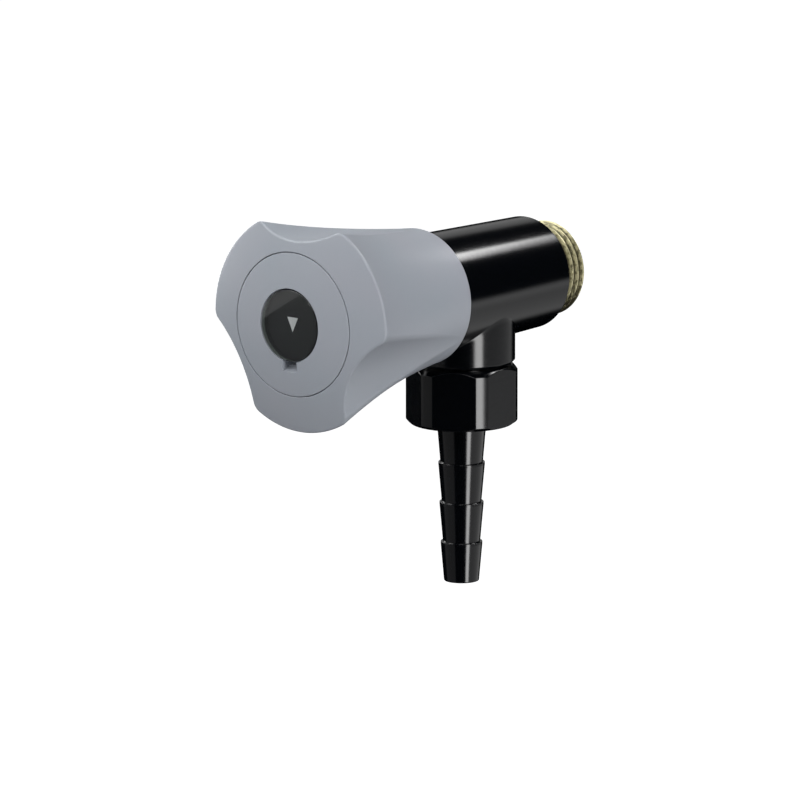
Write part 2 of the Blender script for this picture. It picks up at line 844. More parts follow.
@dataclass
class ValveBody:
    """Tapered barrel with the outlet boss, its stud and the bores for nipple, chamber and bonnet."""

    rear_radius: float = 12.4
    edge_round: float = 0.18
    mouth_round: float = 0.08
    end_ring: float = 0.5
    boss_radius: float = 11.7
    boss_drop: float = 16.5
    boss_chamfer: float = 0.6
    boss_round: float = 0.12
    boss_facets: int = 8
    stud_radius: float = 9.0
    stud_round: float = 0.2
    port_radius: float = 2.8
    junction_round: float = 0.3
    shoulder_bore: float = 10.7275
    shoulder_depth: float = 1.0
    inlet_seat: float = 9.9
    inlet_seat_depth: float = 2.9
    spigot_bore: float = 8.02
    chamber_radius: float = 9.0
    bonnet_bore: float = 10.02
    bonnet_seat: float = 11.72
    bonnet_seat_depth: float = 1.7
    bonnet_thread: float = 10.0

    def __post_init__(self) -> None:
        """Reads the barrel's length, its front radius and the branch's place from the frame."""
        body = Extent.of("valve_body")
        self.length, self.front_radius, self.stud_end = body.front, body.half_width, body.bottom
        self.branch = Extent.of("hose_nozzle").middle
        self.spigot_end = Extent.of("inlet_nipple").front

    def barrel(self, station: Grid) -> Grid:
        """Radius of the tapered barrel."""
        return self.rear_radius + (self.front_radius - self.rear_radius) * station / self.length

    def chamber(self, station: Grid) -> Grid:
        """Radius of the plain chamber."""
        return np.full_like(station, self.chamber_radius)

    def boss(self, tube: CrossedTube, bore: CrossedTube) -> tuple[Grid, list[Grid]]:
        """Boss, stud and port.

        The junction's round touches the barrel and the boss at round / tan(half the angle between
        them), where the barrel rises outwards with the slope of its circle.

        Args:
            tube: the barrel that the boss leaves.
            bore: the chamber that the port leaves.

        Returns:
            Distance from the branch's axis at which the barrel starts, and the grids.
        """
        turn = tube.turn()
        angle, station = tube.footprint(np.full_like(turn, self.boss_radius))
        corner = tube.surface(angle, station)
        slope = np.abs(np.tan(angle) * np.sin(turn))
        half = (QUARTER + np.arctan(slope)) / 2
        reach = self.junction_round / np.tan(half)
        edge = self.boss_radius + reach / np.sqrt(1 + slope**2)
        start = tube.surface(*tube.footprint(edge))
        top = -corner[:, 2] + reach
        shoulder = self.boss_drop - self.boss_chamfer
        wall = shoulder - self.boss_chamfer / 2
        drops = blend(top, np.full_like(top, wall), np.linspace(0, 1, self.boss_facets + 1)[:, None])
        walls = about_outlet(self.boss_radius, drops, turn, self.branch)
        rounds = conic(start, corner, walls[0], half, ARC_FACETS)
        outline = rounded([
            (self.boss_radius, wall, 0),
            (self.boss_radius, shoulder, self.boss_round),
            (self.boss_radius - self.boss_chamfer, self.boss_drop, self.boss_round),
            (self.stud_radius, self.boss_drop, 0),
            (self.stud_radius, self.stud_end, self.stud_round),
            (self.stud_radius - 1, self.stud_end, 0),
        ])
        below = spun(outline, turn, self.branch)
        turn = bore.turn()
        mouth = bore.surface(*bore.footprint(np.full_like(turn, self.port_radius)))
        end = about_outlet(self.port_radius, self.stud_end, turn, self.branch)
        junction = np.concatenate([start[None], rounds, walls])
        return edge, [junction, below, np.concatenate([below[-1:], end[None], mouth[None]])]

    def build(self) -> Shell:
        """The whole body as one closed shell.

        Returns:
            The closed shell.
        """
        ring, thread_end = self.end_ring, self.length - self.bonnet_thread
        seat = self.length - self.bonnet_seat_depth
        tube = CrossedTube(self.barrel, ring, self.length - ring, self.boss_radius, self.branch)
        bore = CrossedTube(self.chamber, self.spigot_end, thread_end, self.port_radius, self.branch)
        edge, branch = self.boss(tube, bore)
        rear = rounded([
            *stepped(self.chamber_radius, self.spigot_end, self.spigot_bore, self.inlet_seat_depth,
                     self.inlet_seat, self.shoulder_depth, self.shoulder_bore),
            (self.shoulder_bore, 0, self.mouth_round),
            (self.rear_radius, 0, self.edge_round),
            (self.barrel(ring), ring, 0),
        ])
        front = rounded([
            (self.barrel(tube.front), tube.front, 0),
            (self.front_radius, self.length, self.edge_round),
            *stepped(self.front_radius, self.length, self.bonnet_seat, seat, self.bonnet_bore,
                     thread_end, self.chamber_radius)[1:],
        ])
        angles = tube.ring_angles()
        shell = Shell().add(spun(rear, angles), spun(front, angles), *branch)
        return shell.add(*tube.grids(edge), *bore.grids(np.full_like(edge, self.port_radius)))


@dataclass
class InletNipple:
    """Brass nipple with the wall thread's helix, its shoulder and its screwed spigot.

    The softness is how much of the thread's straight flank turns into a smooth step.
    """

    thread_radius: float = 10.4775
    pitch: float = 1.8143
    depth: float = 1.162
    flank_angle: float = 27.5
    softness: float = 0.55
    chamfer: float = 0.8
    run_out: float = 0.5
    bore: float = 4.3
    bore_chamfer: float = 0.5
    spigot_radius: float = 8.0
    shoulder_depth: float = 1.0
    shoulder_round: float = 0.06
    seat_recess: float = 6.22
    seat_depth: float = 2.0
    columns: int = 288
    rows_per_pitch: int = 30
    face_rows: int = 3
    plain_groove: float = 0.35
    deepest_groove: float = 1.02

    def profile(self, phase: Grid) -> Grid:
        """Depth below the crest, from 0 to 1, of a thread whose crest is at whole phases.

        A straight-sided zigzag with flanks of the thread's angle is cut at crest and root, and a
        smooth step between the cuts rounds them.

        Args:
            phase: places along the axis and round it, in pitches.

        Returns:
            The depth at each phase.
        """
        zigzag = 1 - np.abs(2 * (phase % 1) - 1)
        flank = self.depth * math.tan(math.radians(self.flank_angle)) / self.pitch
        flat = (0.5 - flank) / 2
        share = np.clip((zigzag / 2 - flat) / flank, 0, 1)
        return blend(share, share**2 * (3 - 2 * share), self.softness)

    def threaded(self, angles: Grid, end: float) -> Grid:
        """Thread as a height field: radius at each height along the axis and each angle.

        The phase rises by one for each pitch along the axis and each turn, which is a helix. The depth
        grows from nothing over the run-out at the shoulder, and a cone cuts the crests at the tip.

        Args:
            angles: angle of each column.
            end: length of the thread.

        Returns:
            Grid of the thread's points.
        """
        count = int(end / self.pitch * self.rows_per_pitch)
        height = np.linspace(0, end, count + 1)[:, None]
        phase = height / self.pitch - angles / (2 * math.pi)
        fade = np.clip(height / self.run_out, 0, 1) ** 2
        radius = self.thread_radius - self.depth * self.profile(phase) * fade
        cone = self.thread_radius - self.chamfer + (end - height)
        return about_main(np.minimum(radius, cone), -height, angles)

    def build(self) -> Shell:
        """The nipple as one closed shell.

        Returns:
            The closed shell.
        """
        extent = Extent.of("inlet_nipple")
        angles = circle(self.columns)
        thread = self.threaded(angles, -extent.rear)
        inner = rounded([
            (self.thread_radius, 0, 0),
            (extent.half_width, 0, self.shoulder_round),
            (extent.half_width, self.shoulder_depth, self.shoulder_round),
            *stepped(extent.half_width, self.shoulder_depth, self.spigot_radius, extent.front,
                     self.seat_recess, extent.front - self.seat_depth, self.bore,
                     extent.rear + self.bore_chamfer)[1:],
            (self.bore + self.bore_chamfer, extent.rear, 0),
        ])
        share = np.linspace(0, 1, self.face_rows + 1)[:, None, None]
        face = blend(spun(inner[-1:], angles), thread[-1:], share)
        first = np.concatenate([thread[:1], spun(inner[:1], angles)])
        return Shell().add(thread, first, spun(inner, angles), face)

    def mark_grooves(self, piece: bpy.types.Object) -> None:
        """Stores how deep in the thread each point lies, from 0 at a crest to 1 at a root.

        Args:
            piece: the nipple's object.
        """
        points = np.empty(len(piece.data.vertices) * 3, np.float32)
        piece.data.vertices.foreach_get("co", points)
        points = points.reshape(-1, 3) / MM
        depth = (self.thread_radius - np.hypot(points[:, 0], points[:, 2])) / self.depth
        is_thread = (points[:, 1] > 0) & (depth < self.deepest_groove)
        depth = np.where(is_thread, np.clip(depth, 0, 1), self.plain_groove)
        groove = piece.data.attributes.new("groove", "FLOAT", "POINT")
        groove.data.foreach_set("value", depth.astype(np.float32))


@dataclass
class UnionNut:
    """Hexagonal nut with turned corners and chamfered ends."""

    stud_bore: float = 9.02
    stud_lead: float = 0.4
    shank_bore: float = 5.38
    lip: float = 2.25
    chamfer_width: float = 1.15
    top_chamfer: float = 1.1
    bottom_chamfer: float = 0.8
    sides: int = 6
    columns_per_side: int = 44
    columns_per_corner: int = 8

    def build(self) -> Shell:
        """The nut as one closed shell.

        A flat lies at apothem / cos(angle from its middle) from the axis, cut at the turned corners'
        radius. An end's cone has that same distance at a depth of (distance - rim) / width times the
        chamfer's height, which draws the arched edge.

        Returns:
            The closed shell.
        """
        extent = Extent.of("union_nut")
        top, bottom, apothem = extent.top, extent.bottom, extent.half_width
        corner = (extent.front - extent.rear) / 2
        rim = corner - self.chamfer_width
        strip = math.acos(apothem / corner)
        side = np.linspace(-strip, strip, self.columns_per_side + 1)
        turned = np.linspace(strip, SIXTH - strip, self.columns_per_corner + 1)[1:-1]
        local = np.concatenate([side, turned])
        starts = np.arange(self.sides)[:, None] * SIXTH + QUARTER
        angles = np.append((starts + local).ravel(), QUARTER - strip + 2 * math.pi)
        reach = np.tile(np.minimum(apothem / np.cos(local), corner), self.sides)
        reach = np.append(reach, reach[0])
        share = (reach - rim) / self.chamfer_width
        high, low = top + self.top_chamfer * share, bottom - self.bottom_chamfer * share
        rims = np.full_like(reach, rim)
        drops = np.stack([np.full_like(high, top), high, low, np.full_like(low, bottom)])
        outside = about_outlet(np.stack([rims, reach, reach, rims]), drops, angles, extent.middle)
        inner = rounded([
            *stepped(rim, bottom, self.shank_bore, bottom - self.lip, self.stud_bore,
                     top + self.stud_lead),
            (self.stud_bore + self.stud_lead, top, 0),
            (rim, top, 0),
        ])
        return Shell().add(outside, spun(inner, angles, extent.middle))


@dataclass
class HoseNozzle:
    """Serrated nozzle: clamped collar, tapered shank and three shrinking barbs."""

    shank_radius: float = 5.33
    shank_straight: float = 1.0
    shank_length: float = 8.68
    shank_round: float = 0.4
    neck_radius: float = 4.68
    neck_round: float = 0.04
    bore: float = 2.5
    bore_chamfer: float = 0.3
    collar_height: float = 2.2
    edge_round: float = 0.1
    fine_round: float = 0.05
    barbs: int = 3
    barb_pitch: float = 8.86
    barb_radius: float = 5.1
    barb_step: float = 0.26
    barb_fall: float = 0.75
    barb_land: float = 0.55
    barb_round: float = 0.15
    tip_round: float = 0.3
    columns: int = 192

    def build(self) -> Shell:
        """The nozzle as one closed shell of revolution about the outlet.

        Returns:
            The closed shell.
        """
        extent = Extent.of("hose_nozzle")
        shank = Extent.of("union_nut").bottom
        first = shank + self.shank_length
        collar = extent.top + self.collar_height
        corners = [
            (self.bore, extent.top, self.edge_round),
            (extent.half_width, extent.top, self.edge_round),
            (extent.half_width, collar, self.edge_round),
            (self.shank_radius, collar, 0),
            (self.shank_radius, shank + self.shank_straight, self.shank_round),
            (self.neck_radius, first, self.neck_round),
        ]
        for barb in range(self.barbs):
            crest = self.barb_radius - barb * self.barb_step
            top = first + barb * self.barb_pitch
            corners += [
                (crest, top, self.fine_round),
                (crest, top + self.barb_land, self.barb_round),
                (crest - self.barb_fall, top + self.barb_pitch, self.edge_round),
            ]
        corners[-1] = (corners[-1][0], extent.bottom, self.tip_round)
        corners += [
            (self.bore + self.bore_chamfer, extent.bottom, self.fine_round),
            (self.bore, extent.bottom - self.bore_chamfer, self.fine_round),
        ]
        return Shell().add(spun(rounded(corners, closed=True), circle(self.columns), extent.middle))


# Handwheel and its cap

@dataclass
class Dome:
    """Domed front that the handwheel and its cap share."""

    radius: float = 72.5
    apex: float = 81.28

    @property
    def centre(self) -> Grid:
        """Centre of the sphere."""
        return np.array([0, self.radius - self.apex, 0])

    def station(self, distance: Grid) -> Grid:
        """Station of the dome at a distance from the main axis, on a sphere."""
        return self.apex - self.radius + np.sqrt(self.radius**2 - distance**2)


@dataclass
class Handwheel:
    """Three-lobed wheel: flared outside with leaning scallops, domed front, ribbed core."""

    dome: Dome
    lobe_radius: float = 24.19
    rear_radius: float = 15.03
    flare_sag: float = 1.33
    scallop_radius: float = 20.2
    waist: float = 18.17
    run_out: float = 0.8
    scallops: tuple = (90, 210, 330)
    lobe_round: float = 2.6
    face_round: float = 0.6
    rear_round: float = 0.3
    recess_round: float = 0.1
    brink: float = 0.3
    skirt_inner: float = 13.75
    core_inner: float = 13.35
    cavity_front: float = 70.18
    hub_radius: float = 8.0
    hub_rear: float = 49.2
    socket_floor: float = 62.98
    socket_half: float = 3.02
    socket_round: float = 4.02
    screw_seat: float = 66.48
    screw_hole: float = 2.1
    screw_pocket: float = 5.0
    pocket_radius: float = 11.0
    pocket_floor: float = 73.68
    groove_radius: float = 11.35
    groove: tuple = (74.38, 75.38)
    cap_recess: float = 15.85
    cap_seat: float = 77.18
    rib_half: float = 1.0
    rib_rear: float = 55.2
    rib_sink: float = 0.3
    columns: tuple = (16, 12, 18)
    side_rows: int = 44
    skirt_rows: int = 26
    face_rows: int = 8
    face_facets: int = 9
    crowding: float = 1.5
    edge_tries: int = 12
    probe: float = 0.05
    first_tip: float = 0.6
    tip_search: float = 6.0
    tip_tries: int = 1201

    def __post_init__(self) -> None:
        """Works out the flare's arc from its chord and sag, and the scallop's axis from its bottom.

        The bottom line runs from the flare, a little in front of its rear edge, to the waist at the
        rim. Pairs are (distance from the main axis, station).
        """
        self.rear = Extent.of("handwheel").rear
        self.rim = float(self.dome.station(self.lobe_radius))
        chord = np.array([self.lobe_radius - self.rear_radius, self.rim - self.rear])
        length = float(np.hypot(*chord))
        self.arc = length**2 / (8 * self.flare_sag) + self.flare_sag / 2
        middle = np.array([self.lobe_radius + self.rear_radius, self.rim + self.rear]) / 2
        normal = np.array([chord[1], -chord[0]]) / length
        self.arc_centre = middle + normal * (self.arc - self.flare_sag)
        self.rim_lean = math.asin((self.rim - self.arc_centre[1]) / self.arc)
        start_lean = math.asin((self.rear - self.arc_centre[1]) / self.arc) + self.run_out / self.arc
        start = self.arc_centre + self.arc * np.array([-math.cos(start_lean), math.sin(start_lean)])
        deepest = np.array([self.waist, self.rim])
        self.axis_along = unit(deepest - start)
        self.axis_out = np.array([self.axis_along[1], -self.axis_along[0]])
        self.axis_point = deepest + self.scallop_radius * self.axis_out

    def flare(self, station: Grid) -> Grid:
        """Lobe radius on the arc."""
        return self.arc_centre[0] - np.sqrt(self.arc**2 - (station - self.arc_centre[1]) ** 2)

    def layout(self) -> tuple[Grid, Grid, Grid]:
        """Columns once round: place in a half sector from 0 to 3, its side, and its scallop's angle.

        From 0 to 1 a column lies on the scallop, from 1 to 2 on the lobe's round, and to 3 on the lobe.

        Returns:
            Each column's place, side and angle.
        """
        parts = (np.linspace(at, at + 1, count + 1)[1:] for at, count in enumerate(self.columns))
        half = np.concatenate([[0], *parts])
        place = np.concatenate([half[::-1], half[1:-1]])
        side = np.repeat([-1.0, 1.0], [len(half), len(half) - 2])
        turn = np.repeat(np.radians(self.scallops), len(place))
        place, side = (np.tile(row, len(self.scallops)) for row in (place, side))
        return tuple(np.append(row, row[0]) for row in (place, side, turn))

    def ball(self, station: Grid) -> tuple[Grid, Grid, Grid]:
        """Ball that rolls along the ridge, inside the flare and outside the scallop.

        Inside the flare its centre keeps to an arc about the flare's centre, longer by the ball's
        radius, and to that arc's tangent in front of the rim. Outside the scallop it keeps to a leaning
        cylinder, which a station cuts in an ellipse. With c the cosine of the centre's angle from the
        scallop, both meet where a c^2 + 2 h c + e = 0.

        Args:
            station: station of the ball's centre in each column.

        Returns:
            The centre's distance from the main axis, its angle, and the flare's lean where they touch.
        """
        reach = self.arc + self.lobe_round
        limit = self.arc_centre[1] + reach * math.sin(self.rim_lean)
        lean = np.arcsin((np.minimum(station, limit) - self.arc_centre[1]) / reach)
        beyond = np.maximum(station - limit, 0) * math.tan(self.rim_lean)
        radius = self.arc_centre[0] - reach * np.cos(lean) + beyond
        sine, cosine = self.axis_along
        offset = self.axis_point[0] + (station - self.axis_point[1]) * sine / cosine
        square = -((radius * sine) ** 2)
        half = -radius * offset * cosine**2
        rest = (offset * cosine) ** 2 + radius**2 - (self.scallop_radius + self.lobe_round) ** 2
        cosine_tip = rest / (np.sqrt(half**2 - square * rest) - half)
        return radius, np.arccos(np.clip(cosine_tip, -1, 1)), lean

    def side(self, station: Grid) -> tuple[Grid, Grid]:
        """Outside of the wheel, on scallop, ridge and lobe, where the ridge's ball touches them.

        The ball and the scallop touch square to the scallop's axis. The ridge is a spherical mix of the
        two normals there, and the lobe keeps the station at which the ball touches the flare.

        Args:
            station: station of the ball's centre in each column.

        Returns:
            Points, and their outward normals.
        """
        place, side, turn = self.layout()
        radius, tip, lean = self.ball(station)
        across, out = radius * np.sin(tip), radius * np.cos(tip)
        from_axis = np.stack([out, station * np.ones_like(out)], -1) - self.axis_point
        foot = self.axis_point + (from_axis @ self.axis_along)[:, None] * self.axis_along
        contact = np.arctan2(across, -(from_axis @ self.axis_out))
        flare, scallop = self.leaning(tip, lean), self.square_to_axis(contact)
        sweep = np.arccos(np.clip(np.sum(flare * scallop, axis=1), -1, 1))[:, None]
        share = place[:, None] - 1
        ridge = unit(np.sin((1 - share) * sweep) * scallop + np.sin(share * sweep) * flare)
        on_ridge = np.stack([out, across, from_axis[:, 1] + self.axis_point[1]], -1)
        in_scallop = self.square_to_axis(place * contact)
        on_scallop = np.stack([foot[:, 0], np.zeros_like(out), foot[:, 1]], -1)
        flare = self.leaning(blend(tip, SIXTH, place - 2), lean)
        lobe = radius + self.lobe_round * np.cos(lean)
        ahead = station - self.lobe_round * np.sin(lean)
        points = [
            on_scallop - self.scallop_radius * in_scallop,
            on_ridge + self.lobe_round * ridge,
            unit(flare * (1, 1, 0)) * lobe[:, None] + ahead[:, None] * np.array([0, 0, 1]),
        ]
        pick = [(place <= 1)[:, None], (place <= 2)[:, None]]
        point = np.select(pick, points[:2], points[2])
        normal = np.select(pick, [in_scallop, ridge], flare)
        return self.turned(point, side, turn), self.turned(normal, side, turn)

    @staticmethod
    def leaning(angle: Grid, lean: Grid) -> Grid:
        """Flare's normals as (out, across, station), at an angle from the scallop."""
        level = np.cos(lean)
        return np.stack([level * np.cos(angle), level * np.sin(angle), -np.sin(lean)], -1)

    def square_to_axis(self, angle: Grid) -> Grid:
        """Normals towards the scallop's axis as (out, across, station), at an angle round that axis."""
        out, ahead = self.axis_out
        return np.stack([out * np.cos(angle), -np.sin(angle), ahead * np.cos(angle)], -1)

    @staticmethod
    def turned(vector: Grid, side: Grid, turn: Grid) -> Grid:
        """Half sector's vectors (out, across, station) on their side of their scallop, in space."""
        out, across, cosine, sine = vector[:, 0], vector[:, 1] * side, np.cos(turn), np.sin(turn)
        return np.stack([out * cosine - across * sine, -vector[:, 2], out * sine + across * cosine], -1)

    def first_station(self) -> float:
        """Station of the ball where the ridge's angle from the scallop is the first that is drawn."""
        stations = np.linspace(self.rear, self.rear + self.tip_search, self.tip_tries)
        return float(np.interp(math.radians(self.first_tip), self.ball(stations)[1], stations))

    def on_dome(self, point: Grid) -> Grid:
        """Points moved square onto the dome."""
        return self.dome.centre + self.dome.radius * unit(point - self.dome.centre)

    def outer_rows(self) -> list[Grid]:
        """Rows from behind the scallops over the face's round to the cap's recess.

        The face's round touches the side and the dome at round / tan(half their angle) from the edge,
        measured square to the edge.

        Returns:
            The rows, from the rear to the recess.
        """
        at = np.full(len(self.layout()[0]), self.rim)
        for _ in range(self.edge_tries):
            edge, normal = self.side(at)
            at = at + self.dome.station(np.hypot(edge[:, 0], edge[:, 2])) + edge[:, 1]
        dome = unit(edge - self.dome.centre)
        agree = np.sum(normal * dome, axis=1)[:, None]
        down, over = unit(agree * normal - dome), unit(agree * dome - normal)
        half = np.arccos(np.sum(down * over, axis=1)) / 2
        reach = self.face_round / np.tan(half)
        speed = np.sum((self.side(at - self.probe)[0] - edge) * down, axis=1) / self.probe
        touch = at - reach / speed
        shares = np.linspace(0, 1, self.side_rows) ** self.crowding
        low, high = self.first_station(), touch - self.face_round / 2
        rows = [self.side(blend(low, high, share))[0] for share in shares]
        start = self.side(touch)[0]
        end = self.on_dome(edge + reach[:, None] * over)
        begin = self.on_dome(edge + (reach + self.face_round / 3)[:, None] * over)
        rows += [start, *conic(start, edge, end, half, self.face_facets), end, begin]
        angle = np.arctan2(edge[:, 2], edge[:, 0])
        brink = np.full_like(angle, self.cap_recess + self.brink)
        target = about_main(brink, self.dome.station(brink), angle)
        shares = np.linspace(0, 1, self.face_rows + 1)[1:]
        return rows + [self.on_dome(blend(begin, target, share)) for share in shares]

    def inner_rows(self, angle: Grid, rear_angle: Grid) -> list[Grid]:
        """Rows from the cap's recess through the hub and the core to the rear edge.

        Args:
            angle: angle of each column at the recess.
            rear_angle: angle of each column at the rear edge.

        Returns:
            The rows.
        """
        brink = self.cap_recess + self.brink
        front = rounded([
            (brink, self.dome.station(brink), 0),
            (self.cap_recess, self.dome.station(self.cap_recess), self.recess_round),
            *stepped(self.cap_recess, self.cap_seat, self.pocket_radius, self.groove[1],
                     self.groove_radius, self.groove[0], self.pocket_radius, self.pocket_floor,
                     self.screw_pocket, self.screw_seat, self.screw_hole, self.socket_floor),
        ])
        across = np.maximum(np.abs(np.cos(angle)), np.abs(np.sin(angle)))
        socket = np.minimum(self.socket_half / across, self.socket_round)
        hub = [(self.hub_radius, self.hub_rear), (self.hub_radius, self.cavity_front)]
        turns = (rear_angle - angle + math.pi) % (2 * math.pi) - math.pi
        share = np.linspace(0, 1, self.skirt_rows)[:, None]
        radius = blend(self.core_inner, self.skirt_inner, share)
        station = blend(self.cavity_front, self.rear, share)
        reach = self.rear + 2 * self.rear_round
        edge = rounded([
            (self.skirt_inner, self.rear, 0),
            (self.rear_radius, self.rear, self.rear_round),
            (self.flare(reach), reach, 0),
        ])
        return [
            *spun(front, angle),
            *about_main(socket, np.array([[self.socket_floor], [self.hub_rear]]), angle),
            *spun(np.array(hub), angle),
            *about_main(radius, station, angle + share * turns),
            *spun(edge, rear_angle),
        ]

    def ribs(self) -> list[Grid]:
        """Three ribs between hub and skirt, each a closed box: a ring of four sides, and two ends.

        Returns:
            The grids of the three boxes.
        """
        low, high = self.rib_rear, self.cavity_front + self.rib_sink
        side = np.array([-1, 1, 1, -1, -1])[:, None] * self.rib_half
        back = np.array([low, low, high, high, low])[:, None] * np.array([0, -1, 0])
        out = np.array([self.hub_radius - self.rib_sink, self.core_inner + self.rib_sink])
        grids = []
        for turn in np.radians(self.scallops):
            ahead = np.array([math.cos(turn), 0, math.sin(turn)])
            across = np.array([-math.sin(turn), 0, math.cos(turn)])
            ring = out[:, None, None] * ahead + side * across + back
            grids += [ring, *(end[[[0, 1], [3, 2]]] for end in ring)]
        return grids

    def build(self) -> Shell:
        """The wheel as one closed shell, with its ribs.

        Returns:
            The closed shell.
        """
        outer = self.outer_rows()
        rear_angle, angle = (np.arctan2(row[:, 2], row[:, 0]) for row in (outer[0], outer[-1]))
        inner = self.inner_rows(angle, rear_angle)
        body = np.array([inner[-1], *outer])
        return Shell().add(body, np.array(inner), *self.ribs())


@dataclass
class FrontCap:
    """Snap-in cap with the index recess and its prying notch."""

    dome: Dome
    gap_round: float = 0.12
    edge_round: float = 0.1
    collar_round: float = 0.15
    seat: float = 77.18
    collar_radius: float = 10.85
    collar_inner: float = 9.65
    bead_radius: float = 11.2
    bead: tuple = (74.48, 75.28)
    floor_thickness: float = 1.4
    recess: float = 8.1
    notch_half: float = 2.05
    notch_flat: float = 9.2
    notch_end: float = 10.2
    notch_depth: float = 3.0
    columns: int = 210
    notch_columns: int = 10
    notch_rows: tuple = (6, 3)
    beyond_rows: int = 2
    face_rows: int = 8

    def __post_init__(self) -> None:
        """Spaces the notch's columns."""
        self.mouth = np.linspace(-1, 1, self.notch_columns + 1) * self.notch_half

    def on_dome(self, x: Grid, z: Grid) -> Grid:
        """Points of the dome above (x, z)."""
        x, z = np.broadcast_arrays(x, z)
        return np.stack([x, -self.dome.station(np.hypot(x, z)), z], -1)

    def notch(self, radii: Grid) -> tuple[list[Grid], float]:
        """Notch: two side walls, a flat floor, a slope that rises to the dome, and the dome beyond.

        Args:
            radii: distances from the axis of the dome's inner rows along the notch's side.

        Returns:
            The grids, and the floor's station.
        """
        floor = float(self.dome.station(self.notch_end)) - self.notch_depth
        across, depths = self.mouth, np.sqrt(radii**2 - self.notch_half**2)[:, None]
        inner = np.sqrt(self.recess**2 - across**2)
        share = np.clip((depths - depths[0]) / (self.notch_flat - depths[0]), 0, 1)
        flat = blend(inner, np.full_like(inner, self.notch_flat), share)
        drops = np.where(depths > self.notch_flat, depths, flat)
        lip = self.dome.station(np.hypot(across, self.notch_end))
        climb = np.clip((depths - self.notch_flat) / (self.notch_end - self.notch_flat), 0, 1)
        station = blend(np.full_like(lip, floor), lip, climb)
        bottom = np.stack(np.broadcast_arrays(across, -station, -drops), -1)
        top = self.on_dome(np.array([[-1, 1]]) * self.notch_half, -depths)
        walls = [np.stack([bottom[:, column], top[:, column]]) for column in (0, -1)]
        arc = np.arcsin(across / radii[-1])
        outer = np.stack([radii[-1] * np.sin(arc), -radii[-1] * np.cos(arc)])
        chord = np.stack([across, np.full_like(across, -self.notch_end)])
        share = np.linspace(0, 1, self.beyond_rows + 1)[:, None, None]
        x, z = np.swapaxes(blend(chord, outer, share), 0, 1)
        return [bottom, *walls, self.on_dome(x, z)], floor

    def build(self) -> Shell:
        """The cap as one closed shell.

        The dome's inner rows stop at the notch's straight sides, where a row at distance r ends at an
        angle of asin(half width / r) from straight down.

        Returns:
            The closed shell.
        """
        extent, index = Extent.of("front_cap"), Extent.of("index_disc").rear
        rim, back = extent.half_width, index - self.floor_thickness
        knee, end = (math.hypot(far, self.notch_half) for far in (self.notch_flat, self.notch_end))
        low, high = (count + 1 for count in self.notch_rows)
        radii = np.linspace(self.recess, knee, low)
        radii = np.concatenate([radii, np.linspace(knee, end, high)[1:]])
        notch, floor = self.notch(radii)
        gap = np.arcsin(self.notch_half / radii)[:, None]
        angle = blend(gap, 2 * math.pi - gap, np.linspace(0, 1, self.columns + 1))
        inner = self.on_dome(radii[:, None] * np.sin(angle), -radii[:, None] * np.cos(angle))
        outside = rounded([
            (end, self.dome.station(end), 0),
            (rim, self.dome.station(rim), self.gap_round),
            (rim, self.seat, self.edge_round),
            (self.collar_radius, self.seat, 0),
            (self.collar_radius, self.bead[1], 0),
            (self.bead_radius, self.bead[1], self.edge_round),
            (self.bead_radius, self.bead[0], self.edge_round),
            (self.collar_radius, self.bead[0], 0),
            (self.collar_radius, extent.rear, self.collar_round),
            (self.collar_inner, extent.rear, self.collar_round),
            *stepped(self.collar_inner, back, 0),
        ])
        face = np.linspace(end, rim - 3 * self.gap_round, self.face_rows)
        face = np.stack([face, self.dome.station(face)], -1)
        outer_angle = np.concatenate([np.arcsin(self.mouth / end), angle[-1][1:]]) - QUARTER
        mouth_angle = np.arcsin(self.mouth / self.recess)
        seat_angle = np.concatenate([mouth_angle, angle[0][1:]]) - QUARTER
        stations = [self.dome.station(self.recess), floor, index]
        wall = np.array([(self.recess, station) for station in stations])
        shell = Shell().add(inner, spun(np.vstack([face, outside[1:]]), outer_angle), *notch)
        shell.add(spun(wall, angle[0] - QUARTER), spun(wall[1:], mouth_angle - QUARTER))
        return shell.add(spun(np.array([(self.recess, index), (0, index)]), seat_angle))


@dataclass
class IndexWindow:
    """Clear disc over the index, a little clear of it, domed just below the cap."""

    dome: Dome
    chamfer: float = 0.25
    rear_round: float = 0.05
    side_round: float = 0.04
    front_round: float = 0.06
    air: float = 0.02
    columns: int = 180
    face_rows: int = 14

    def build(self) -> Shell:
        """The window as one closed shell of revolution.

        Returns:
            The closed shell.
        """
        extent = Extent.of("index_window")
        edge, rear = extent.half_width, extent.rear + self.air
        low = Dome(self.dome.radius - self.dome.apex + extent.front, extent.front)
        inner = edge - self.chamfer
        rim = rounded([
            (0, rear, 0),
            (edge, rear, self.rear_round),
            (edge, low.station(edge) - self.chamfer, self.side_round),
            (inner, low.station(inner), self.front_round),
            (inner - 1, low.station(inner - 1), 0),
        ])
        face = np.linspace(inner - 1, 0, self.face_rows + 1)[1:]
        outline = np.vstack([rim, np.stack([face, low.station(face)], -1)])
        return Shell().add(spun(outline, circle(self.columns)))


# Sub-assemblies

